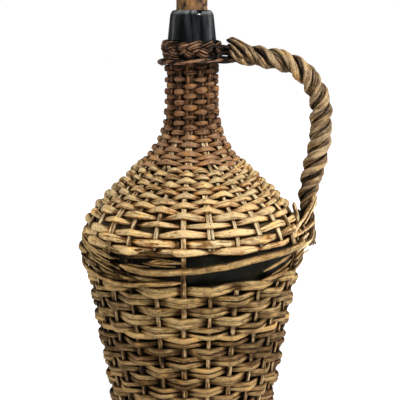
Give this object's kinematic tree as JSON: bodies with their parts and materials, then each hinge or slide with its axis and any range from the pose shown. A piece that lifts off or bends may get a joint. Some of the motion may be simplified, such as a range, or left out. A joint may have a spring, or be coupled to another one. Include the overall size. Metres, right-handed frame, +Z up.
{
  "type": "wicker demijohn",
  "caption": "Dark glass demijohn with a cork, tapered below and domed above, cased in woven willow from foot to collar, with a twisted willow handle from neck to shoulder.",
  "frame": {"origin": "on the bottle's axis at the floor, in the middle of the flat underside of the central base stick", "axes": "+Z up along the bottle's axis, +X towards the handle, -Y towards the viewer of the picture"},
  "size_m": [0.2476, 0.2228, 0.436],
  "materials": {
    "glass": "glossy, near-black green bottle glass",
    "cork": "matt natural cork with small dark pits",
    "willow_upright": "satin, peeled willow rods",
    "willow_body": "satin, olive-brown buff willow",
    "willow_dome": "satin, golden buff willow",
    "willow_neck": "satin, dark brown willow",
    "willow_collar": "satin, very dark brown willow",
    "willow_handle": "satin, twisted brown willow"
  },
  "bodies": {
    "vessel": {"glass_bottle": "glass", "upright_01": "willow_upright", "upright_02": "willow_upright", "upright_03": "willow_upright", "upright_04": "willow_upright", "upright_05": "willow_upright", "upright_06": "willow_upright", "upright_07": "willow_upright", "upright_08": "willow_upright", "upright_09": "willow_upright", "upright_10": "willow_upright", "upright_11": "willow_upright", "upright_12": "willow_upright", "upright_13": "willow_upright", "upright_14": "willow_upright", "upright_15": "willow_upright", "upright_16": "willow_upright", "upright_17": "willow_upright", "upright_18": "willow_upright", "upright_19": "willow_upright", "upright_20": "willow_upright", "upright_21": "willow_upright", "upright_22": "willow_upright", "upright_23": "willow_upright", "upright_24": "willow_upright", "upright_25": "willow_upright", "base_stick_01": "willow_upright", "base_stick_02": "willow_upright", "base_stick_03": "willow_upright", "base_stick_04": "willow_upright", "base_stick_05": "willow_upright", "base_stick_06": "willow_upright", "base_weaver_01": "willow_body", "base_weaver_02": "willow_body", "foot_wale": "willow_body", "body_weaver_01": "willow_body", "body_weaver_02": "willow_body", "shoulder_hoop_01": "willow_body", "shoulder_hoop_02": "willow_body", "dome_weaver": "willow_dome", "neck_weaver": "willow_neck", "collar_winding": "willow_collar", "neck_hoop": "willow_collar", "handle_strand_01": "willow_handle", "handle_strand_02": "willow_handle", "handle_strand_03": "willow_handle"},
    "cork": {"cork": "cork"}
  },
  "joints": [
    {"name": "cork_pull", "type": "slide", "parent": "vessel", "child": "cork", "axis": [0, 0, 1], "range_m": [0, 0.06]}
  ]
}
